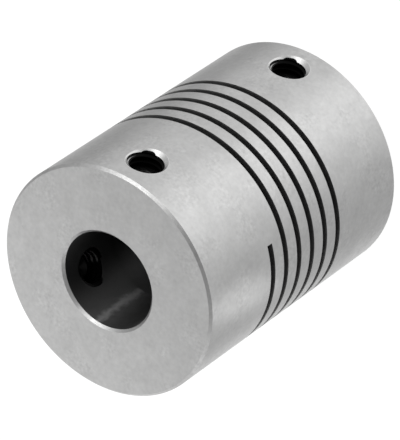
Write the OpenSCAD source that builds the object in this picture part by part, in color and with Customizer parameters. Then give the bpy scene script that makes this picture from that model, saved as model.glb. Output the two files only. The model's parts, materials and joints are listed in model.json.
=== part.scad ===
// One-piece flexible shaft coupling with a helical slit and four set screws.
// The bore axis is Z and the origin lies on it, at the middle of the length.
// The first set screw of each hub points along +X.

/* [Body] */
// Outside diameter of the turned body
body_d = 19; // [17:0.5:30]
// Length of the body, from end face to end face
body_l = 25; // [24:0.5:40]
// Chamfer round the outer edge of each end face
edge_chamfer = 0.2; // [0.1:0.05:0.8]

/* [Shaft bores] */
// Bore of the upper hub
upper_bore_d = 8; // [5:0.5:8]
// Bore of the lower hub
lower_bore_d = 8; // [5:0.5:8]
// Depth of each hub bore, from its end face to the relief
hub_bore_l = 6; // [5:0.1:6.5]
// Chamfer at the mouth of each bore
bore_chamfer = 0.2; // [0.1:0.05:0.6]
// Diameter of the relieved middle, where the slit breaks through
relief_d = 8.6; // [8.2:0.1:10]

/* [Helical slit] */
// Height of the slit, which is the thickness of the saw that cuts it
slit_h = 0.6; // [0.3:0.05:0.8]
// Rise of the helix in one turn
slit_pitch = 1.75; // [1.4:0.05:2]
// Turns of the helix, from one blunt end to the other
slit_turns = 5.3; // [2:0.1:5.6]
// Direction of the middle of the slit, measured from the first set screws
slit_middle_angle = 60; // [0:5:355]
// Distance of the middle of the slit below the middle of the body
slit_drop = 0.2; // [0:0.05:0.3]

/* [Set screws] */
// Thread diameter of the set screws
screw_d = 3; // [2:0.5:4]
// Length of a set screw, from socket end to cup point
screw_l = 3; // [2.5:0.1:3.8]
// Depth of the socket end under the surface of the body
screw_sink = 1.5; // [0.3:0.1:1.5]
// Distance from each end face to the screws in its hub
screw_inset = 3.1; // [2.4:0.1:4]
// Angle between the two set screws of a hub
screw_spread = 120; // [60:5:180]
// Clearance all round a screw in its tapped hole
screw_clearance = 0.02; // [0.01:0.01:0.1]
// Countersink at the mouth of each tapped hole
hole_chamfer = 0.2; // [0.15:0.05:0.4]
// Chamfer on the socket end of a set screw
screw_chamfer = 0.25; // [0.1:0.05:0.4]
// Diameter of the rim of the cup point
cup_d = 1.4; // [0.8:0.1:1.8]
// Hexagon socket, across its flats
socket_af = 1.5; // [0.9:0.1:1.7]
// Depth of the hexagon socket
socket_depth = 1.2; // [0.8:0.1:1.4]

/* [Hidden] */

$fn = 96;
body_color = [0.72, 0.72, 0.71];
screw_color = [0.13, 0.13, 0.14];

body_r = body_d / 2;
half_l = body_l / 2;
upper_bore_r = upper_bore_d / 2;
lower_bore_r = lower_bore_d / 2;
relief_r = relief_d / 2;
relief_half_l = half_l - hub_bore_l;

// The cutter runs past both walls, so that the slit leaves nothing behind
cut_over = 0.6;
slit_inner_r = relief_r - cut_over;
slit_outer_r = body_r + cut_over;
slit_steps_per_turn = 60;
slit_steps = ceil(slit_turns * slit_steps_per_turn);
slit_rise = slit_turns * slit_pitch;

screw_r = screw_d / 2;
screw_axis_z = half_l - screw_inset;
screw_socket_end_r = body_r - screw_sink;
screw_angles = [0, screw_spread];
tapped_hole_r = screw_r + screw_clearance;
cup_r = cup_d / 2;
cup_point_angle = 120;
cup_depth = cup_r / tan(cup_point_angle / 2);
socket_corner_r = socket_af / 2 / cos(30);
socket_floor_depth = socket_af / 2 / tan(cup_point_angle / 2);

// Half of the turned section: both hub bores, the relief and every chamfer
module body_section() {
    polygon([
        [lower_bore_r + bore_chamfer, -half_l],
        [body_r - edge_chamfer, -half_l],
        [body_r, -half_l + edge_chamfer],
        [body_r, half_l - edge_chamfer],
        [body_r - edge_chamfer, half_l],
        [upper_bore_r + bore_chamfer, half_l],
        [upper_bore_r, half_l - bore_chamfer],
        [upper_bore_r, relief_half_l],
        [relief_r, relief_half_l],
        [relief_r, -relief_half_l],
        [lower_bore_r, -relief_half_l],
        [lower_bore_r, -half_l + bore_chamfer]
    ]);
}

// Share of the slit that is done at step i, from minus a half to a half
function slit_share(i) = i / slit_steps - 0.5;

// Four corners of the cutter at step i: a right-handed helix, rising with the angle
function slit_corners(i) =
    let (
        angle = slit_middle_angle + 360 * slit_turns * slit_share(i),
        middle_z = slit_rise * slit_share(i) - slit_drop,
        out = [cos(angle), sin(angle)],
        low = middle_z - slit_h / 2,
        high = middle_z + slit_h / 2
    )
    [
        [slit_inner_r * out.x, slit_inner_r * out.y, low],
        [slit_outer_r * out.x, slit_outer_r * out.y, low],
        [slit_outer_r * out.x, slit_outer_r * out.y, high],
        [slit_inner_r * out.x, slit_inner_r * out.y, high]
    ];

// Two triangles that join side k of the cutter at step i to the next step
function slit_side(i, k) =
    let (
        a = 4 * i + k,
        b = 4 * i + (k + 1) % 4
    )
    [[a, b, b + 4], [a, b + 4, a + 4]];

// The space that the saw clears: one rectangular section swept along the helix
module helical_slit() {
    corners = [for (i = [0 : slit_steps]) each slit_corners(i)];
    sides = [for (i = [0 : slit_steps - 1], k = [0 : 3]) each slit_side(i, k)];
    last = 4 * slit_steps;
    start_cap = [3, 2, 1, 0];
    end_cap = [last, last + 1, last + 2, last + 3];
    polyhedron(points = corners, faces = concat([start_cap], sides, [end_cap]));
}

// Places its children on a screw axis, with their own Z pointing out of the body
module on_screw_axis(z, angle) {
    translate([0, 0, z])
        rotate([0, 0, angle])
            rotate([0, 90, 0])
                children();
}

// One tapped hole, drilled from the axis outwards through one wall and countersunk
module tapped_hole() {
    mouth_h = hole_chamfer + cut_over;
    cylinder(r = tapped_hole_r, h = body_r + cut_over);
    translate([0, 0, body_r - hole_chamfer])
        cylinder(r1 = tapped_hole_r, r2 = tapped_hole_r + mouth_h, h = mouth_h);
}

// The whole flexure: turned, drilled and tapped, then slit along the helix
module coupling_body() {
    color(body_color)
        difference() {
            rotate_extrude()
                body_section();
            for (z = [-screw_axis_z, screw_axis_z], angle = screw_angles)
                on_screw_axis(z, angle)
                    tapped_hole();
            helical_slit();
        }
}

// Half section of a set screw, with its cup point at zero and its socket end on top
module screw_section() {
    polygon([
        [0, cup_depth],
        [cup_r, 0],
        [screw_r, screw_r - cup_r],
        [screw_r, screw_l - screw_chamfer],
        [screw_r - screw_chamfer, screw_l],
        [0, screw_l]
    ]);
}

// Hexagon socket with the cone that its drill leaves
module hex_socket() {
    translate([0, 0, screw_l - socket_depth])
        cylinder(r = socket_corner_r, h = socket_depth + cut_over, $fn = 6);
    translate([0, 0, screw_l - socket_depth - socket_floor_depth])
        cylinder(r1 = 0, r2 = socket_af / 2, h = socket_floor_depth);
}

// One headless set screw, sunk in its hole with the point short of the bore
module set_screw(z, angle) {
    color(screw_color)
        on_screw_axis(z, angle)
            translate([0, 0, screw_socket_end_r - screw_l])
                difference() {
                    rotate_extrude()
                        screw_section();
                    hex_socket();
                }
}

coupling_body();
set_screw(screw_axis_z, screw_angles[0]);  // set_screw_upper_first
set_screw(screw_axis_z, screw_angles[1]);  // set_screw_upper_second
set_screw(-screw_axis_z, screw_angles[0]);  // set_screw_lower_first
set_screw(-screw_axis_z, screw_angles[1]);  // set_screw_lower_second
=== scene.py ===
# %% [markdown]
# A helical beam coupling joins two shafts end to end. It starts as a short bar of aluminium,
# which is turned, bored, drilled and tapped, and then a thin saw winds round it and cuts a
# helical slit. The metal left between the turns is a flat spring that bends and never slips.
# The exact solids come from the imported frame, so Blender only dresses them: satin metal,
# fine threads, black screws, and the plain light of a product photograph.

import json
import math

import bmesh
import bpy
import numpy as np
from mathutils import Matrix, Vector

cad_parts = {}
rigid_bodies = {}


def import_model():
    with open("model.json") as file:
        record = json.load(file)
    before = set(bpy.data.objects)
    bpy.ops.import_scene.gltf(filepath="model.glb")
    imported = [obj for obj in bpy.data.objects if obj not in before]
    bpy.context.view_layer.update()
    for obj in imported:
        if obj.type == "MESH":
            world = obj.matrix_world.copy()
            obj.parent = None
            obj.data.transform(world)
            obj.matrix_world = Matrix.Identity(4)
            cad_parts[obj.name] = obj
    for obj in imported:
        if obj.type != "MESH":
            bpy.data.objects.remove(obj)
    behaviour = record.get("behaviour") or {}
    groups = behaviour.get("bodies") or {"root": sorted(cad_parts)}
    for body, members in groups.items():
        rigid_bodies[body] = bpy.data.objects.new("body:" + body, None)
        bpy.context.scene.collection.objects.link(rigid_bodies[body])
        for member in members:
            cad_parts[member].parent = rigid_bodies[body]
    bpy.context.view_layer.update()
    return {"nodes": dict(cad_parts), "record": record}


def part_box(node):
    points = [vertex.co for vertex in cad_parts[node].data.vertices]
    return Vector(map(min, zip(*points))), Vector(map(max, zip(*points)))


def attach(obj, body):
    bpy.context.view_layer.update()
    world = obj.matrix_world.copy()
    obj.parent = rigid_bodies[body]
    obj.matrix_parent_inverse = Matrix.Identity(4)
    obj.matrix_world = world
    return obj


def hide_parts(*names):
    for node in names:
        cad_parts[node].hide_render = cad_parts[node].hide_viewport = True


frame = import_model()
MM = 0.001
body_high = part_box("coupling_body")[1]
BODY_R = body_high.x
HALF_L = body_high.z
mounts = {mount["name"]: mount for mount in frame["record"]["mounts"]}
BORE_R = mounts["upper_bore"]["dims"]["r_mm"] * MM
print(f"body: {2 * BODY_R / MM:.1f} mm across, {2 * HALF_L / MM:.1f} mm long, {2 * BORE_R / MM:.1f} mm bore")

# %% [markdown]
# The photograph looks down on the upper end face from about 46 degrees, through a very long
# lens, so parallel edges stay almost parallel. The picture is rolled: the axis of the
# coupling slants up to the right. A camera is easiest to describe by the point that it aims
# at, the direction that it looks from, its distance and its roll. Three vectors worked out
# from those give its rotation.

# %% Aim the camera
CAMERA_AZIMUTH = math.radians(-36.97)
CAMERA_ELEVATION = math.radians(45.96)
CAMERA_ROLL = math.radians(124.41)
CAMERA_DISTANCE = 338.97 * MM
CAMERA_AIM = Vector((-0.286, 0.035, 0.241)) * MM
CAMERA_LENS = 361.9


def direction(azimuth, elevation):
    """Unit vector at an azimuth round Z, counted from +X, and an elevation above the floor."""
    return Vector((
        math.cos(elevation) * math.cos(azimuth),
        math.cos(elevation) * math.sin(azimuth),
        math.sin(elevation),
    ))


def add_camera():
    """Camera on a sphere round its aim. Its up vector is the level one turned by the roll."""
    back = direction(CAMERA_AZIMUTH, CAMERA_ELEVATION)
    level_side = Vector((0, 0, 1)).cross(back).normalized()
    level_up = back.cross(level_side)
    up = math.cos(CAMERA_ROLL) * level_up + math.sin(CAMERA_ROLL) * level_side
    turn = Matrix((up.cross(back), up, back)).transposed().to_4x4()
    data = bpy.data.cameras.new("camera")
    data.lens = CAMERA_LENS
    data.clip_start = 0.01
    data.clip_end = 20
    camera = bpy.data.objects.new("camera", data)
    camera.matrix_world = Matrix.Translation(CAMERA_AIM + back * CAMERA_DISTANCE) @ turn
    bpy.context.scene.collection.objects.link(camera)
    bpy.context.scene.camera = camera
    return camera


camera = add_camera()
print("camera at", tuple(round(c, 4) for c in camera.location))

# %% [markdown]
# Every material here is a small graph of nodes that reads Object coordinates, so its pattern
# is fixed to the part and measured in metres. Wiring graphs by hand is long-winded. One
# helper adds a node, sets its inputs and returns it, and four more name the steps that come
# back again and again: arithmetic, a soft step, a noise and a blend of two greys.

# %% Node helpers
NOISE_ROUGHNESS = 0.55


def new_material(name):
    """Node material with its Principled shader and output, ready to be wired."""
    material = bpy.data.materials.new(name)
    material.use_nodes = True
    return material


def add_node(tree, kind, settings=None, **inputs):
    """Adds a node. An input is given by its name, or as i and its number, with its value or
    the socket that feeds it."""
    node = tree.nodes.new(kind)
    for key, value in (settings or {}).items():
        setattr(node, key, value)
    for key, value in inputs.items():
        by_number = key[0] == "i" and key[1:].isdigit()
        socket = node.inputs[int(key[1:])] if by_number else node.inputs[key]
        if isinstance(value, bpy.types.NodeSocket):
            tree.links.new(value, socket)
        else:
            socket.default_value = value
    return node


def calc(tree, operation, first, second=0.0, third=0.0):
    """Output of a Math node: the operation on two or three values or sockets."""
    node = add_node(tree, "ShaderNodeMath", {"operation": operation}, i0=first, i1=second, i2=third)
    return node.outputs[0]


def step(tree, value, start, stop, low, high):
    """Soft step: low where value is under start, high where it is over stop."""
    node = add_node(
        tree, "ShaderNodeMapRange", {"interpolation_type": "SMOOTHSTEP"},
        i0=value, i1=start, i2=stop, i3=low, i4=high,
    )
    return node.outputs[0]


def noise(tree, where, size, detail=2.0):
    """Noise from 0 to 1 whose blotches are about size metres across."""
    node = add_node(
        tree, "ShaderNodeTexNoise",
        Vector=where, Scale=1.0 / size, Detail=detail, Roughness=NOISE_ROUGHNESS,
    )
    return node.outputs["Fac"]


def blend(tree, share, low, high):
    """Colour that goes from low to high with share."""
    node = add_node(tree, "ShaderNodeMix", {"data_type": "RGBA"}, i0=share, i6=low, i7=high)
    return node.outputs[2]


print("node helpers ready")

# %% [markdown]
# The screws decide where the tapped holes are, so their places are measured before anything
# is painted. Each hub has two, a third of a turn apart, and both hubs have them at the same
# two angles. The boxes of the CAD screws tell how far out each one starts and ends.

# %% Measure the screws
SCREW_ANGLES = {"first": 0.0, "second": math.radians(120)}
screw_low, screw_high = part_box("set_screw_upper_first")
SOCKET_END = screw_high.x
POINT_END = screw_low.x
SCREW_Z = (screw_low.z + screw_high.z) / 2
SCREWS = {
    f"{hub}_{place}": (side * SCREW_Z, angle)
    for hub, side in (("upper", 1), ("lower", -1))
    for place, angle in SCREW_ANGLES.items()
}
print(f"screws {SCREW_Z / MM:.2f} mm up, from {POINT_END / MM:.2f} to {SOCKET_END / MM:.2f} mm out")

# %% [markdown]
# Metric threads are all the same shape: sides at 30 degrees to the square, a narrow flat on
# the crest and a wider one at the root. M3 has a pitch of half a millimetre. The numbers are
# gathered here because the material, the threads in the holes and the screws all use them.
# The crests of screw and hole miss each other's roots by a few hundredths, as real ones do.

# %% Thread sizes
PITCH = 0.5 * MM
FLANK = math.tan(math.radians(30))
CREST_FLAT = 0.06 * MM
SCREW_CREST_R = 1.49 * MM
SCREW_ROOT_R = 1.195 * MM
HOLE_CREST_R = 1.25 * MM
HOLE_R = 1.52 * MM
HOLE_CHAMFER = 0.2 * MM
RIDGE_OVERLAP = 0.015 * MM
THREAD_PLAY = 0.015 * MM
THREAD_MEETS_SKIN = math.radians(10)
print(f"M{round(2 * SCREW_CREST_R / MM)} threads, {PITCH / MM} mm pitch")

# %% [markdown]
# The outside is bare aluminium with a satin grain, soft enough to blur every reflection into
# wide bands. A good satin is never even: wide pale clouds, a fine mottle, and here and there
# a patch of handling marks where the speckle is stronger. All three are noises of different
# sizes, added up round a level of one, so that their sum only multiplies the metal's grey.
# Each is given by its size and its strength.

# %% Unevenness of the satin skin
CLOUD = (1.6 * MM, 0.22)
MOTTLE = (0.36 * MM, 0.26)
SPECKLE = (0.26 * MM, 0.34)
PATCH_SIZE = 2.6 * MM
PATCH_EDGE = (0.48, 0.62)


def satin_level(tree, where):
    """Brightness of the skin round one: each noise less a half, times its own strength, and
    the speckle only inside its patches."""
    cloud = noise(tree, where, CLOUD[0])
    mottle = noise(tree, where, MOTTLE[0], 3.0)
    speckle = noise(tree, where, SPECKLE[0], 1.0)
    patch = step(tree, noise(tree, where, PATCH_SIZE, 1.0), *PATCH_EDGE, 0.0, 1.0)
    middle = 1 - 0.5 * (CLOUD[1] + MOTTLE[1])
    level = calc(tree, "MULTIPLY_ADD", cloud, CLOUD[1], middle)
    level = calc(tree, "MULTIPLY_ADD", mottle, MOTTLE[1], level)
    marks = calc(tree, "MULTIPLY", patch, calc(tree, "SUBTRACT", speckle, 0.5))
    return calc(tree, "MULTIPLY_ADD", marks, SPECKLE[1], level)


print("satin: clouds, mottle and patches of speckle")

# %% [markdown]
# Tools leave other finishes inside, and most of the colour there is painted shade and
# painted highlight. The bores are smooth and painted a dark grey as shade, darker down one
# side as painted shade, and the walls of the slit are painted darker as shade. The tapped
# holes are painted black as shade, with a notch where the thread runs out through the
# countersink. The countersinks are painted bright as a highlight, and near the bore the
# crests of the thread are painted pale on one side as glints. A separate material for each
# would need the mesh to be cut up, but the place of a point already tells which tool made
# it: its distance from the main axis, its height, and its distance from a hole's own axis.
# Each zone is a mask from 0 to 1 with a soft edge, which is only a hair wide round the
# holes. A direction round an axis is given by three angles: its own, how far to each side
# its mask reaches, and how far it is full.

# %% Where each tool has cut
SLIT_ZONE = (6.5 * MM, 7.0 * MM)
UNDER_SKIN = (BODY_R - 0.16 * MM, BODY_R - 0.02 * MM)
BORE_ZONE = (4.9 * MM, 5.1 * MM)
UNDER_FACE = (HALF_L - 0.22 * MM, HALF_L - 0.20 * MM)
HAIR = 0.03 * MM
CONE_TIP = BODY_R - HOLE_CHAMFER - HOLE_R
# How far the black painted shade reaches in the middle of a hole, and at the notch where the thread runs
# out.
DARK_MIDDLE_R = 1.34 * MM
RUN_OUT_R = 1.55 * MM
# Zone and side of the thread crests that are painted pale as glints near the bore.
CREST_GLINT_ZONE = (BORE_R + 1.2 * MM, BORE_R + 1.6 * MM)
CREST_GLINT_SIDE = [math.radians(a) for a in (240, 37, 5)]
RUN_OUT = [math.radians(a) for a in (300, 30, 5)]
OWN_SIDE = (0.0, 1.0 * MM)


def all_of(tree, *masks):
    """Product of several masks."""
    share = masks[0]
    for mask in masks[1:]:
        share = calc(tree, "MULTIPLY", share, mask)
    return share


def facing(tree, across, up, angle, edge, middle):
    """Mask round one direction in a plane: it is 0 past the edge angle and 1 within the
    middle one. The cosine of the angle between is the dot product over the length."""
    length = calc(tree, "SQRT", calc(tree, "MULTIPLY_ADD", across, across, calc(tree, "MULTIPLY", up, up)))
    dot = calc(tree, "MULTIPLY_ADD", across, math.cos(angle), calc(tree, "MULTIPLY", up, math.sin(angle)))
    cosine = calc(tree, "DIVIDE", dot, length)
    return step(tree, cosine, math.cos(edge), math.cos(middle), 0.0, 1.0)


def sawn_and_bored(tree, height, radius):
    """Sawn: under the skin, between the hubs. Bored: near the axis and under the end faces."""
    between_hubs = step(tree, height, *SLIT_ZONE, 1.0, 0.0)
    under_skin = step(tree, radius, *UNDER_SKIN, 1.0, 0.0)
    near_axis = step(tree, radius, *BORE_ZONE, 1.0, 0.0)
    under_face = step(tree, height, *UNDER_FACE, 1.0, 0.0)
    return all_of(tree, under_skin, between_hubs), all_of(tree, near_axis, under_face)


def from_hole_axis(tree, x, y, z, angle):
    """Place seen from the nearer hole at an angle: distance out along the hole's axis, then
    across it and up from it, which are the sides of a right triangle, and the distance from
    it, which is the root of the sum of their squares."""
    c, s = math.cos(angle), math.sin(angle)
    out = calc(tree, "MULTIPLY_ADD", x, c, calc(tree, "MULTIPLY", y, s))
    across = calc(tree, "MULTIPLY_ADD", y, c, calc(tree, "MULTIPLY", x, -s))
    up = calc(tree, "MULTIPLY_ADD", calc(tree, "SIGN", z), -SCREW_Z, z)
    square = calc(tree, "MULTIPLY_ADD", across, across, calc(tree, "MULTIPLY", up, up))
    return out, across, up, calc(tree, "SQRT", square)


def tapped_at(tree, x, y, z, radius, angle):
    """Masks round the axis of the holes at one angle. The first is the tapped wall, painted
    black as shade, which ends at the bore and at the countersink's cone. Its middle is painted
    dark as shade at any depth, out to DARK_MIDDLE_R, or to RUN_OUT_R where the thread runs out
    through the cone. The second is the part of the crests near the bore, on one side, that is
    painted pale as glints. The third is the cone itself, painted bright as a highlight, where
    out is the distance from the hole's axis plus CONE_TIP."""
    out, across, up, from_hole = from_hole_axis(tree, x, y, z, angle)
    below_cone = calc(tree, "SUBTRACT", calc(tree, "ADD", from_hole, CONE_TIP), out)
    drilled_side = step(tree, out, *OWN_SIDE, 0.0, 1.0)
    off_bore = step(tree, radius, BORE_R + 0.2 * HAIR, BORE_R + HAIR, 0.0, 1.0)
    off_cone = step(tree, below_cone, 0.6 * HAIR, 1.6 * HAIR, 0.0, 1.0)
    in_hole = step(tree, from_hole, HOLE_R + 0.3 * HAIR, HOLE_R + 1.3 * HAIR, 1.0, 0.0)
    near_skin = step(tree, out, BODY_R - 2 * PITCH, BODY_R - PITCH, 0.0, 1.0)
    run_out = all_of(tree, facing(tree, across, up, *RUN_OUT), near_skin)
    from_notch = calc(tree, "MULTIPLY_ADD", run_out, DARK_MIDDLE_R - RUN_OUT_R, from_hole)
    in_middle = step(tree, from_notch, DARK_MIDDLE_R, DARK_MIDDLE_R + HAIR, 1.0, 0.0)
    dark = calc(tree, "MAXIMUM", all_of(tree, in_hole, off_cone), in_middle)
    wall = all_of(tree, drilled_side, off_bore, dark)
    on_crest = step(tree, from_hole, HOLE_CREST_R + 0.3 * HAIR, HOLE_CREST_R + 1.5 * HAIR, 1.0, 0.0)
    near_bore = step(tree, out, *CREST_GLINT_ZONE, 1.0, 0.0)
    crests = all_of(tree, wall, on_crest, near_bore, facing(tree, across, up, *CREST_GLINT_SIDE))
    on_cone = step(tree, calc(tree, "ABSOLUTE", below_cone), HAIR, 2 * HAIR, 1.0, 0.0)
    rim_r = HOLE_R + HOLE_CHAMFER
    within_rim = step(tree, from_hole, rim_r, rim_r + HAIR, 1.0, 0.0)
    return wall, crests, all_of(tree, drilled_side, on_cone, within_rim)


print("masks: sawn, bored, tapped, rubbed crests and countersunk")

# %% [markdown]
# The photograph shows one pale, ragged line along the bore, from the mouth to the step where
# the hub's bore ends. It is partly a drag mark that the last tool left on its way out and
# partly a painted highlight, where the softbox streaks along the bore. It is painted as a
# band of a given width round one direction, its edge pushed to and fro by a noise, and it
# ends where the hub's bore ends.

# %% Drag mark and painted highlight in the upper bore
STREAK_AZIMUTH = math.radians(173)
STREAK_HALF_WIDTH = 0.50 * MM
STREAK_RAGGED = 0.9 * MM
STREAK_SWAY_SIZE = 0.7 * MM
STREAK_FADE = 0.3 * MM
HUB_BORE_L = mounts["upper_bore"]["dims"]["length_mm"] * MM


def drag_mark_and_highlight(tree, where, x, y, z):
    """One less the distance from the mark's line over its half width, softened, above the
    step in the bore and on the mark's own side."""
    c, s = math.cos(STREAK_AZIMUTH), math.sin(STREAK_AZIMUTH)
    across = calc(tree, "MULTIPLY_ADD", x, s, calc(tree, "MULTIPLY", y, -c))
    out = calc(tree, "MULTIPLY_ADD", x, c, calc(tree, "MULTIPLY", y, s))
    sway = calc(tree, "SUBTRACT", noise(tree, where, STREAK_SWAY_SIZE, 3.0), 0.5)
    off_line = calc(tree, "ABSOLUTE", calc(tree, "MULTIPLY_ADD", sway, STREAK_RAGGED, across))
    line = step(tree, off_line, 0.0, STREAK_HALF_WIDTH, 1.0, 0.0)
    in_hub = step(tree, z, HALF_L - HUB_BORE_L - STREAK_FADE, HALF_L - HUB_BORE_L, 0.0, 1.0)
    own_side = step(tree, out, *OWN_SIDE, 0.0, 1.0)
    return all_of(tree, line, in_hub, own_side)


print("drag mark at", round(math.degrees(STREAK_AZIMUTH)), "degrees")

# %% [markdown]
# Now the layers are laid over each other: satin skin, the slit painted dark as shade, the
# bores painted dark as shade and darker down one side, with the pale line that is partly a
# drag mark and partly a painted highlight, countersinks painted bright as a highlight, crests
# painted pale as glints, and tapped holes painted black as shade. Boring leaves rings far too
# fine to see, but they stretch every highlight along the bore. The shader does that by itself
# when its anisotropy is up and its tangent runs round the axis, which a cross product of the
# axis with the point gives at once. A very fine bump breaks up the shine of the skin.

# %% Satin aluminium
SATIN_COLOR = (0.590, 0.590, 0.587)
# The grey of the slit's walls is painted shade.
SLIT_SHADE_COLOR = (0.22, 0.22, 0.22, 1)
# The grey of the bores is painted shade.
BORE_SHADE_COLOR = (0.13, 0.13, 0.13, 1)
# Darker painted shade down one side of the bore.
BORE_SIDE_SHADE_COLOR = (0.055, 0.055, 0.055, 1)
# The pale line along the bore: partly a drag mark, partly a painted highlight.
DRAG_AND_HIGHLIGHT_COLOR = (0.30, 0.30, 0.30, 1)
# The black of the tapped holes is painted shade.
HOLE_SHADE_COLOR = (0.005, 0.005, 0.005, 1)
# Painted glints on the thread crests near the bore.
CREST_GLINT_COLOR = (0.45, 0.45, 0.45, 1)
# Painted highlight on the countersinks.
COUNTERSINK_HIGHLIGHT_COLOR = (0.74, 0.74, 0.736, 1)
# Side of the bore that gets the darker painted shade: its angle, edge and full angle.
BORE_SHADE_SIDE = [math.radians(a) for a in (83, 72, 25)]
BORE_ANISOTROPY = 0.9
ALONG_AXIS = 0.25
ROUGHNESS = (0.34, 0.42)
TOOLED_ROUGHER = 0.10
ROUGH_PATCH_SIZE = 0.28 * MM
GRAIN_SIZE = 0.09 * MM
GRAIN_HEIGHT = 0.012 * MM
GRAIN_STRENGTH = 0.3
NOISE_SPREAD = (0.3, 0.7)


def satin_aluminium():
    """Layers of grey, one for each tool, which inside are painted shade and painted highlight, on a metal
    whose roughness wanders a little.
    """
    material = new_material("satin_aluminium")
    tree = material.node_tree
    shader = tree.nodes["Principled BSDF"]
    where = add_node(tree, "ShaderNodeTexCoord").outputs["Object"]
    x, y, z = add_node(tree, "ShaderNodeSeparateXYZ", i0=where).outputs
    height = calc(tree, "ABSOLUTE", z)
    radius = calc(tree, "SQRT", calc(tree, "MULTIPLY_ADD", x, x, calc(tree, "MULTIPLY", y, y)))
    sawn, bored = sawn_and_bored(tree, height, radius)
    holes = [tapped_at(tree, x, y, z, radius, angle) for angle in SCREW_ANGLES.values()]
    tapped, crests, cones = (calc(tree, "MAXIMUM", *pair) for pair in zip(*holes))
    skin = add_node(tree, "ShaderNodeVectorMath", {"operation": "SCALE"},
                    i0=SATIN_COLOR, Scale=satin_level(tree, where)).outputs[0]
    # The greys of the slit, bore and holes are painted shade; the pale line, the crests and the cones carry
    # painted highlights.
    bore = blend(tree, facing(tree, x, y, *BORE_SHADE_SIDE), BORE_SHADE_COLOR, BORE_SIDE_SHADE_COLOR)
    bore = blend(tree, drag_mark_and_highlight(tree, where, x, y, z), bore, DRAG_AND_HIGHLIGHT_COLOR)
    hole = blend(tree, crests, HOLE_SHADE_COLOR, CREST_GLINT_COLOR)
    color = blend(tree, sawn, skin, SLIT_SHADE_COLOR)
    color = blend(tree, bored, color, bore)
    color = blend(tree, cones, color, COUNTERSINK_HIGHLIGHT_COLOR)
    color = blend(tree, tapped, color, hole)
    rough = step(tree, noise(tree, where, ROUGH_PATCH_SIZE, 3.0), *NOISE_SPREAD, *ROUGHNESS)
    rough = calc(tree, "MULTIPLY_ADD", calc(tree, "MAXIMUM", sawn, bored), TOOLED_ROUGHER, rough)
    bump = add_node(tree, "ShaderNodeBump", Strength=GRAIN_STRENGTH, Distance=GRAIN_HEIGHT,
                    Height=noise(tree, where, GRAIN_SIZE))
    around = add_node(tree, "ShaderNodeVectorMath", {"operation": "CROSS_PRODUCT"},
                      i0=(0, 0, 1), i1=where)
    tree.links.new(color, shader.inputs["Base Color"])
    tree.links.new(rough, shader.inputs["Roughness"])
    tree.links.new(bump.outputs["Normal"], shader.inputs["Normal"])
    tree.links.new(calc(tree, "MULTIPLY", bored, BORE_ANISOTROPY), shader.inputs["Anisotropic"])
    tree.links.new(around.outputs["Vector"], shader.inputs["Tangent"])
    shader.inputs["Anisotropic Rotation"].default_value = ALONG_AXIS
    shader.inputs["Metallic"].default_value = 1.0
    return material


aluminium = satin_aluminium()
body = frame["nodes"]["coupling_body"]
body.data.materials.clear()
body.data.materials.append(aluminium)
print("satin aluminium on", body.name)

# %% [markdown]
# Set screws are hardened steel, blackened in a hot bath and left a little oily. The black is
# a thin skin on the metal, cloudy from grey to brown, with a soft gloss that changes with
# the clouds. One noise drives both the colour and the roughness, so they change together.

# %% Black oxide
OXIDE_CLOUD_SIZE = 0.5 * MM
OXIDE_DARK = (0.018, 0.018, 0.019, 1)
OXIDE_PALE = (0.050, 0.049, 0.048, 1)
OXIDE_ROUGHNESS = (0.32, 0.50)


def black_oxide():
    """Near-black metal whose clouds make it paler and rougher together."""
    material = new_material("black_oxide")
    tree = material.node_tree
    shader = tree.nodes["Principled BSDF"]
    where = add_node(tree, "ShaderNodeTexCoord").outputs["Object"]
    cloud = noise(tree, where, OXIDE_CLOUD_SIZE, 3.0)
    tree.links.new(blend(tree, cloud, OXIDE_DARK, OXIDE_PALE), shader.inputs["Base Color"])
    rough = step(tree, cloud, *NOISE_SPREAD, *OXIDE_ROUGHNESS)
    tree.links.new(rough, shader.inputs["Roughness"])
    shader.inputs["Metallic"].default_value = 0.85
    return material


oxide = black_oxide()
print("black oxide for the screws")

# %% [markdown]
# Threads and screws lie on four axes that point out of the body. It is simplest to work each
# shape out on the +X axis, and then to turn its points to the right angle and lift them to
# the right height. The object itself stays unturned at the origin. A last helper makes the
# mesh, keeps sharp edges sharp, and points all faces outwards.

# %% Helpers for pieces on the screw axes
SHARP_ANGLE = math.radians(35)


def on_screw_axis(points, height, angle):
    """Points turned round Z by the angle of a screw and lifted to its height."""
    x, y, z = points[..., 0], points[..., 1], points[..., 2]
    c, s = math.cos(angle), math.sin(angle)
    return np.stack([c * x - s * y, s * x + c * y, z + height], axis=-1)


def add_piece(name, points, faces, material):
    """Closed mesh in its place, riding on the body, with its faces outwards."""
    mesh = bpy.data.meshes.new(name)
    mesh.from_pydata(points.tolist(), [], faces)
    mesh.validate()
    shell = bmesh.new()
    shell.from_mesh(mesh)
    bmesh.ops.recalc_face_normals(shell, faces=shell.faces)
    shell.to_mesh(mesh)
    shell.free()
    mesh.shade_smooth()
    mesh.set_sharp_from_angle(angle=SHARP_ANGLE)
    mesh.materials.append(material)
    piece = bpy.data.objects.new(name, mesh)
    bpy.context.scene.collection.objects.link(piece)
    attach(piece, "root")
    return piece


def turn_at(x):
    """Angle of the hole's ridge at a distance x from the main axis. It is a right-handed
    helix: a whole turn for each pitch, counted from where it would meet the skin."""
    return THREAD_MEETS_SKIN + math.tau * (x - BODY_R) / PITCH


print("helpers for four screw axes ready")

# %% [markdown]
# A tap cuts a groove, and what stays between its turns is a ridge that winds down the hole.
# The CAD hole is drilled to the groove's full depth, so only the ridge is added: a trapezium
# carried along a helix, its base sunk a little into the wall. The countersink at the mouth
# takes the top off the last turn, so the ridge there gets lower until it is gone. At the
# other end it is cut flush with the bore.

# %% Threads in the tapped holes
RIDGE_STEPS = 60
RIDGE_STARTS = BORE_R - 0.15 * MM
RIDGE_ENDS_ABOVE_WALL = 0.001 * MM
FLUSH = 0.003 * MM


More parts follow.
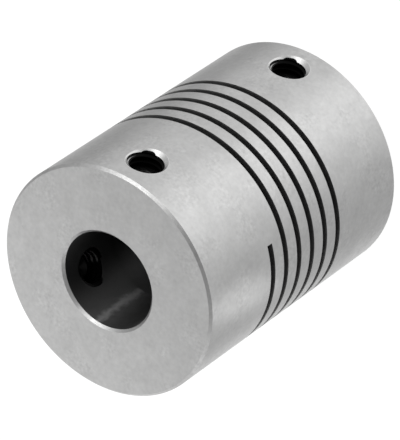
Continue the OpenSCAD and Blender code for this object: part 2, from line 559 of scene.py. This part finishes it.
def hole_thread(height, angle):
    """Section at each step: base, crest, middle of the crest, crest, base. Half widths grow
    with the distance below the crest times tan 30. The crest's radius is where the outer side
    meets the countersink's cone, x = r + CONE_TIP, but never inside the crest's own radius."""
    base_r = HOLE_R + RIDGE_OVERLAP
    half_crest = PITCH / 2 - CREST_FLAT / 2 - (SCREW_CREST_R - HOLE_CREST_R) * FLANK - THREAD_PLAY
    half_base = half_crest + (base_r - HOLE_CREST_R) * FLANK
    middle = np.arange(RIDGE_STARTS, CONE_TIP + base_r + half_base, PITCH / RIDGE_STEPS)
    cut_r = (middle - half_base + base_r * FLANK - CONE_TIP) / (1 + FLANK)
    top_r = np.clip(cut_r, HOLE_CREST_R, base_r - RIDGE_ENDS_ABOVE_WALL)
    half_top = half_base - (base_r - top_r) * FLANK
    side = np.array([-1, -1, 0, 1, 1])
    at_base = np.array([1, 0, 0, 0, 1])
    half = np.where(at_base, half_base, half_top[:, None])
    radii = np.where(at_base, base_r, top_r[:, None])
    y = radii * np.cos(turn_at(middle))[:, None]
    z = radii * np.sin(turn_at(middle))[:, None]
    x = np.minimum(middle[:, None] + side * half, CONE_TIP + radii)
    x = np.maximum(x, np.sqrt(BORE_R ** 2 - y ** 2) + FLUSH)
    points = np.stack([x, y, z], axis=-1).reshape(-1, 3)
    n, m = radii.shape
    row = np.arange(n - 1)[:, None] * m
    corner = np.arange(m)[None, :]
    after = (corner + 1) % m
    quads = np.stack([row + corner, row + after, row + m + after, row + m + corner], axis=-1)
    start_cap = list(range(m - 1, -1, -1))
    end_cap = list(range(m * (n - 1), m * n))
    faces = quads.reshape(-1, 4).tolist() + [start_cap, end_cap]
    return on_screw_axis(points, height, angle), faces


for name, (height, angle) in SCREWS.items():
    points, faces = hole_thread(height, angle)
    add_piece(f"thread_{name}", points, faces, aluminium)
print("four tapped threads,", len(faces), "faces each")

# %% [markdown]
# A headless set screw is one surface of revolution with two things that aren't round: the
# hexagon of its socket and the helix of its thread. Both are only a radius that changes with
# the angle. The whole screw is therefore one grid of rings, from the floor of the socket, up
# its walls, over the end, along the thread, round the point and into the cup. The thread's
# phase comes from the same helix as the ridge in the hole, half a pitch later, so they mesh.

# %% Set screws
TURN_STEPS = 96
THREAD_RINGS = 120
SOCKET_AF = 1.5 * MM
SOCKET_DEPTH = 1.2 * MM
SOCKET_EDGE = 0.05 * MM
SOCKET_TIP_R = 0.03 * MM
CUP_R = 0.7 * MM
CUP_TIP_SHARE = 0.05
END_CHAMFER = 0.25 * MM
RING_GAP = 0.01 * MM


def hexagon_radius(phi, across):
    """Distance from a hexagon's centre to its side: half its width over the cosine of the
    angle from the nearest side's middle."""
    return across / 2 / np.cos(np.mod(phi, np.pi / 3) - np.pi / 6)


def thread_radius(x, phi):
    """Crest radius, less the distance past the crest's flat over tan 30, down to the root."""
    phase = np.mod(0.5 + (turn_at(x) - phi) / math.tau, 1.0)
    from_crest = np.minimum(phase, 1 - phase) * PITCH
    depth = np.clip(from_crest - CREST_FLAT / 2, 0, None) / FLANK
    return np.maximum(SCREW_CREST_R - depth, SCREW_ROOT_R)


def screw_rings(phi):
    """Rings of the screw as (x, radius at each angle), from socket floor to cup."""
    whole = np.ones_like(phi)
    floor = SOCKET_END - SOCKET_DEPTH
    hexagon = hexagon_radius(phi, SOCKET_AF)
    rings = [
        (floor - SOCKET_AF / 2 * FLANK, SOCKET_TIP_R * whole),
        (floor, SOCKET_AF / 2 * whole),
        (floor, hexagon),
        (SOCKET_END - SOCKET_EDGE, hexagon),
        (SOCKET_END, hexagon + SOCKET_EDGE),
        (SOCKET_END, (SCREW_CREST_R - END_CHAMFER) * whole),
    ]
    for x in np.linspace(SOCKET_END - RING_GAP, POINT_END + RING_GAP, THREAD_RINGS):
        chamfered = SCREW_CREST_R - max(END_CHAMFER - (SOCKET_END - x), 0)
        pointed = CUP_R + (x - POINT_END)
        rings.append((x, np.minimum(thread_radius(x, phi), min(chamfered, pointed))))
    rings.append((POINT_END, CUP_R * whole))
    rings.append((POINT_END + (1 - CUP_TIP_SHARE) * CUP_R * FLANK, CUP_TIP_SHARE * CUP_R * whole))
    return rings


def set_screw(height, angle):
    """The rings as one grid, y = r cos and z = r sin of the angle, with a pole at each end."""
    phi = np.linspace(0, math.tau, TURN_STEPS, endpoint=False)
    rings = screw_rings(phi)
    x = np.array([ring[0] for ring in rings])[:, None] + 0 * phi
    r = np.array([ring[1] for ring in rings])
    grid = np.stack([x, r * np.cos(phi), r * np.sin(phi)], axis=-1)
    m, n = r.shape
    socket_tip = SOCKET_END - SOCKET_DEPTH - SOCKET_AF / 2 * FLANK
    poles = np.array([[socket_tip, 0, 0], [POINT_END + CUP_R * FLANK, 0, 0]])
    points = np.concatenate([grid.reshape(-1, 3), poles])
    i = np.arange(m - 1)[:, None] * n
    j = np.arange(n)[None, :]
    k = (j + 1) % n
    quads = np.stack([i + j, i + n + j, i + n + k, i + k], axis=-1).reshape(-1, 4)
    j, k = j[0], k[0]
    first = np.stack([np.full(n, m * n), j, k], axis=-1)
    last = np.stack([(m - 1) * n + k, (m - 1) * n + j, np.full(n, m * n + 1)], axis=-1)
    faces = quads.tolist() + first.tolist() + last.tolist()
    return on_screw_axis(points, height, angle), faces


for name, (height, angle) in SCREWS.items():
    points, faces = set_screw(height, angle)
    piece = add_piece(f"screw_{name}", points, faces, oxide)
    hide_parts(f"set_screw_{name}")
print("four set screws,", len(faces), "faces each")

# %% [markdown]
# The picture's ground is pure white, as on a page of a catalogue, and the part still has to
# stand on something. The floor is a plain sheet at the height of the lower end face. For the
# camera it glows almost white by itself, and the little that it takes from the lamps fills
# it up to white, except where the part's shadow falls. The metal doesn't mirror the floor,
# because the cards round the set, which come next, stand in for it.

# %% Floor
FLOOR_HALF = 3.0
WHITE = (1, 1, 1, 1)
FLOOR_GLOW = 0.90
FLOOR_TINT = (0.22, 0.22, 0.22, 1)
FLOOR_PAINT = (0.8, 0.8, 0.8, 1)


def white_floor():
    """Glow and a little diffuse grey for the camera and through glass, plain paint for light
    that bounces."""
    material = new_material("white_floor")
    tree = material.node_tree
    tree.nodes.remove(tree.nodes["Principled BSDF"])
    path = add_node(tree, "ShaderNodeLightPath")
    glow = add_node(tree, "ShaderNodeEmission", Color=WHITE, Strength=FLOOR_GLOW)
    tint = add_node(tree, "ShaderNodeBsdfDiffuse", Color=FLOOR_TINT)
    seen = add_node(tree, "ShaderNodeAddShader", i0=glow.outputs[0], i1=tint.outputs[0])
    paint = add_node(tree, "ShaderNodeBsdfDiffuse", Color=FLOOR_PAINT)
    straight = calc(tree, "MAXIMUM", path.outputs["Is Camera Ray"], path.outputs["Is Glossy Ray"])
    straight = calc(tree, "MAXIMUM", straight, path.outputs["Is Transmission Ray"])
    mixed = add_node(tree, "ShaderNodeMixShader",
                     i0=straight, i1=paint.outputs[0], i2=seen.outputs[0])
    tree.links.new(mixed.outputs[0], tree.nodes["Material Output"].inputs["Surface"])
    return material


corners = [(-1, -1), (1, -1), (1, 1), (-1, 1)]
mesh = bpy.data.meshes.new("floor")
mesh.from_pydata([(x * FLOOR_HALF, y * FLOOR_HALF, -HALF_L) for x, y in corners], [], [(0, 1, 2, 3)])
mesh.materials.append(white_floor())
floor = bpy.data.objects.new("floor", mesh)
bpy.context.scene.collection.objects.link(floor)
floor.visible_glossy = False
print("floor at", round(-HALF_L / MM, 2), "mm")

# %% [markdown]
# Polished or satin metal has no look of its own: it shows the room. The photographer ringed
# the set with white and grey cards, which draw the soft bands along the cylinder. The side
# of the part mirrors whatever stands low down, at twice the angle of the metal, so each band
# in the photograph tells where a card stood and how bright it was. Above the cards there is
# a pale ceiling with three darker patches and a brighter one. The world holds all of this as
# a function of direction only: white for the camera, cards for the metal, and one even level
# for the light that fills the shadows. Azimuths count from the camera, all angles are in
# degrees, and each card fades from its middle to its edge. The low cards give way to the
# ceiling between two heights of a direction of length one.

# %% Cards round the set
LOW_LEVEL = 0.56
LOW_CARDS = {
    "front": {"azimuth": 0, "edge": 65, "change": 0.36},
    "front_middle": {"azimuth": 14, "edge": 38, "change": 0.33},
    "side": {"azimuth": 82, "edge": 44, "change": 0.28},
    "black": {"azimuth": 132, "edge": 45, "change": -0.22},
    "back": {"azimuth": -176, "edge": 55, "change": 0.46},
}
CEILING = 0.78
CEILING_CARDS = {
    "dark_above": {"azimuth": -32, "elevation": 38, "edge": 70, "full": 14, "change": -0.48},
    "dark_side": {"azimuth": 118, "elevation": 8, "edge": 41, "full": 14, "change": -0.36},
    "pale_side": {"azimuth": -118, "elevation": 8, "edge": 41, "full": 14, "change": 0.14},
    "grey_back": {"azimuth": 180, "elevation": 46, "edge": 45, "full": 20, "change": -0.16},
}
RISE = (-0.25, 0.15)


def low_cards(tree, x, y):
    """Level low down in the direction x, y: the sum of the cards, each by its own change."""
    level = LOW_LEVEL
    for card in LOW_CARDS.values():
        middle = CAMERA_AZIMUTH + math.radians(card["azimuth"])
        share = facing(tree, x, y, middle, math.radians(card["edge"]), 0.0)
        level = calc(tree, "MULTIPLY_ADD", share, card["change"], level)
    return level


def round_card(tree, way, azimuth, elevation, edge, full, change):
    """What a round card changes: all within its full angle, nothing past its edge. The
    cosine of the angle from its middle is the dot product of the two directions."""
    middle = direction(CAMERA_AZIMUTH + math.radians(azimuth), math.radians(elevation))
    cosine = add_node(tree, "ShaderNodeVectorMath", {"operation": "DOT_PRODUCT"}, i0=way, i1=middle)
    edge, full = math.cos(math.radians(edge)), math.cos(math.radians(full))
    return step(tree, cosine.outputs["Value"], edge, full, 0.0, change)


def studio_world():
    """White straight to the camera or through glass, cards and ceiling for glossy rays, and
    the ceiling's even level for the rest."""
    world = bpy.data.worlds.new("studio")
    world.use_nodes = True
    tree = world.node_tree
    path = add_node(tree, "ShaderNodeLightPath")
    way = add_node(tree, "ShaderNodeTexCoord").outputs["Generated"]
    x, y, z = add_node(tree, "ShaderNodeSeparateXYZ", i0=way).outputs
    ceiling = CEILING
    for card in CEILING_CARDS.values():
        ceiling = calc(tree, "ADD", ceiling, round_card(tree, way, **card))
    rise = step(tree, z, *RISE, 0.0, 1.0)
    mirrored = add_node(tree, "ShaderNodeMix", {"data_type": "FLOAT"},
                        i0=rise, i2=low_cards(tree, x, y), i3=ceiling).outputs[0]
    level = add_node(tree, "ShaderNodeMix", {"data_type": "FLOAT"},
                     i0=path.outputs["Is Glossy Ray"], i2=CEILING, i3=mirrored).outputs[0]
    straight = calc(tree, "MAXIMUM", path.outputs["Is Camera Ray"], path.outputs["Is Transmission Ray"])
    background = tree.nodes["Background"]
    background.inputs["Color"].default_value = WHITE
    tree.links.new(calc(tree, "MAXIMUM", level, straight), background.inputs["Strength"])
    bpy.context.scene.world = world
    return world


world = studio_world()
print("world:", len(LOW_CARDS), "low cards and", len(CEILING_CARDS), "cards on the ceiling")

# %% [markdown]
# The narrow white line on the edge of the end face is the one hard highlight, so there was a
# softbox up on the camera's side. A chamfer at 45 degrees mirrors it only where it faces
# halfway between lamp and camera, which gives the lamp's direction. A large weak softbox
# makes the line's soft ends, and a small one in front of it makes its bright middle.
# Two small reflectors stand close by. Because they are so near, only a part of the metal
# mirrors them: one draws the pale streak low on the upper hub, and the other brightens the
# far side of the end face.

# %% Softboxes and reflectors
LAMPS = {
    "key_softbox": {"azimuth": 50, "elevation": 40, "distance": 0.50, "size": (0.46, 0.30), "power": 0.37},
    "key_core": {"azimuth": 57, "elevation": 41, "distance": 0.45, "size": (0.08, 0.08), "power": 0.075},
    "hub_reflector": {"azimuth": -88, "elevation": -46, "distance": 0.014, "size": (0.007, 0.006),
                      "power": 7.5e-5, "faces": (-44, 9.5 * MM, 10.0 * MM)},
    "face_reflector": {"azimuth": 180, "elevation": 25, "distance": 0.030, "size": (0.050, 0.022),
                       "power": 9e-4, "faces": (0, 0, HALF_L)},
}


def add_lamp(name, azimuth, elevation, distance, size, power, faces=(0, 0, 0)):
    """Rectangular lamp that faces a point of the part, given by azimuth, radius and height.
    The lamp stands at a distance from that point. Azimuths count from the camera."""
    data = bpy.data.lights.new(name, "AREA")
    data.shape = "RECTANGLE"
    data.size, data.size_y = size
    data.energy = power
    lamp = bpy.data.objects.new(name, data)
    turned, radius, height = faces
    target = radius * direction(CAMERA_AZIMUTH + math.radians(turned), 0) + Vector((0, 0, height))
    way = direction(CAMERA_AZIMUTH + math.radians(azimuth), math.radians(elevation))
    turn = way.to_track_quat("Z", "Y").to_matrix().to_4x4()
    lamp.matrix_world = Matrix.Translation(target + way * distance) @ turn
    lamp.visible_camera = False
    bpy.context.scene.collection.objects.link(lamp)
    return lamp


for name, settings in LAMPS.items():
    lamp = add_lamp(name, **settings)
    print(name, "at", tuple(round(c, 3) for c in lamp.matrix_world.translation))

# %% [markdown]
# The Standard view shows each colour as it is written, which suits a catalogue picture.
# Nothing that was added may make the part larger.

# %% Finish
bpy.context.scene.view_settings.view_transform = "Standard"
